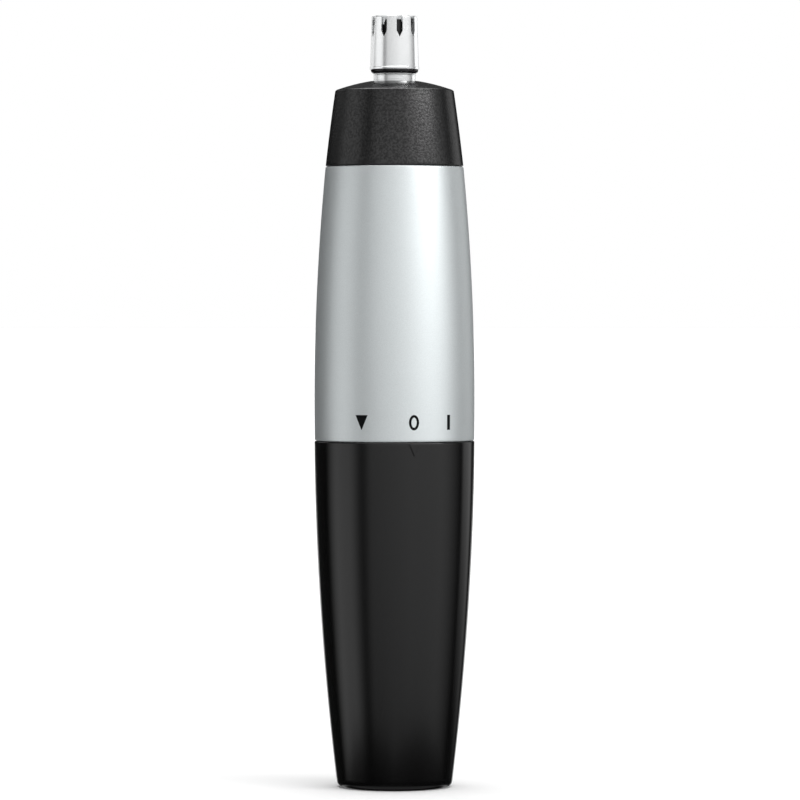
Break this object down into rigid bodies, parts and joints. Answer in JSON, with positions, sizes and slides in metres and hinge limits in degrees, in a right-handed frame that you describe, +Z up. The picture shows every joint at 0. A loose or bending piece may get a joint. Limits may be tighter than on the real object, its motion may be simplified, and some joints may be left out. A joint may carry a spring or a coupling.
{
  "type": "nose hair trimmer",
  "caption": "Slim battery nose hair trimmer: bullet-shaped body with a twist-switch battery cover, a pull-off head and a slotted rotary cutting tip.",
  "frame": {"origin": "centre of the flat foot of the battery cover", "axes": "+Z up along the body towards the cutting tip; -Y is the front, where the position marks are; +X is to the right as the front is looked at"},
  "size_m": [0.027, 0.027, 0.13],
  "materials": {
    "cover_black": "satin black",
    "collar_black": "fine spark-eroded black",
    "barrel_silver": "satin silver metallic paint with black printed marks",
    "natural_plastic": "smooth natural white",
    "dark_plastic": "smooth dark",
    "bush_black": "polished black",
    "chrome_tip": "bright plated",
    "blade_steel": "ground",
    "spring_steel": "drawn wire",
    "plated_steel": "zinc plated",
    "contact_brass": "nickelled spring brass",
    "bearing_bronze": "sintered",
    "rotor_copper": "enamelled winding and copper bars",
    "core_steel": "stacked sheet",
    "ferrite": "dull sintered",
    "seal_rubber": "smooth",
    "cell_wrap": "plain printed film over a steel can",
    "cell_card": "pressed card"
  },
  "bodies": {
    "handle": {"barrel": "barrel_silver", "chassis": "natural_plastic", "contact_plate": "dark_plastic", "positive_contact": "contact_brass", "switch_contact": "contact_brass", "cover_o_ring": "seal_rubber", "nose_cap": "natural_plastic", "nose_screws": "plated_steel", "head_o_ring": "seal_rubber", "shaft_seal": "seal_rubber", "motor_can": "plated_steel", "motor_end_bell": "natural_plastic", "motor_magnets": "ferrite", "motor_front_bearing": "bearing_bronze", "motor_rear_bearing": "bearing_bronze", "motor_brushes": "bearing_bronze", "motor_terminals": "contact_brass", "motor_damper": "seal_rubber"},
    "cover": {"battery_cover": "cover_black", "battery_spring": "spring_steel", "negative_strip": "contact_brass", "cell_can": "cell_wrap", "cell_button": "plated_steel", "cell_washer": "cell_card"},
    "rotor": {"motor_shaft": "plated_steel", "armature_core": "core_steel", "armature_coils": "rotor_copper", "commutator": "rotor_copper", "drive_coupling": "natural_plastic"},
    "head": {"head_collar": "collar_black", "neck_tube": "chrome_tip", "head_bush": "bush_black", "outer_cutter": "chrome_tip", "head_retainer": "natural_plastic"},
    "cutter": {"cutter_stem": "natural_plastic", "stem_clip": "plated_steel", "cutter_spring": "spring_steel"},
    "blades": {"blade_carrier": "dark_plastic", "inner_cutter": "blade_steel"}
  },
  "joints": [
    {"name": "cover_twist", "type": "hinge", "parent": "handle", "child": "cover", "pos_m": [0, 0, 0.0585], "axis": [0, 0, 1], "range_deg": [-38, 28]},
    {"name": "rotor_spin", "type": "hinge", "parent": "handle", "child": "rotor", "pos_m": [0, 0, 0.09], "axis": [0, 0, 1], "continuous": true},
    {"name": "head_pull", "type": "slide", "parent": "handle", "child": "head", "axis": [0, 0, 1], "range_m": [0, 0.025]},
    {"name": "cutter_spin", "type": "hinge", "parent": "head", "child": "cutter", "pos_m": [0, 0, 0.12], "axis": [0, 0, 1], "continuous": true},
    {"name": "cutter_float", "type": "slide", "parent": "cutter", "child": "blades", "axis": [0, 0, -1], "range_m": [0, 0.0004], "stiffness_N_per_m": 300, "springref_m": -0.0012, "deforming": ["cutter_spring"]}
  ],
  "couplings": [
    {"joint": "cutter_spin", "follows": "rotor_spin", "ratio": 1}
  ]
}
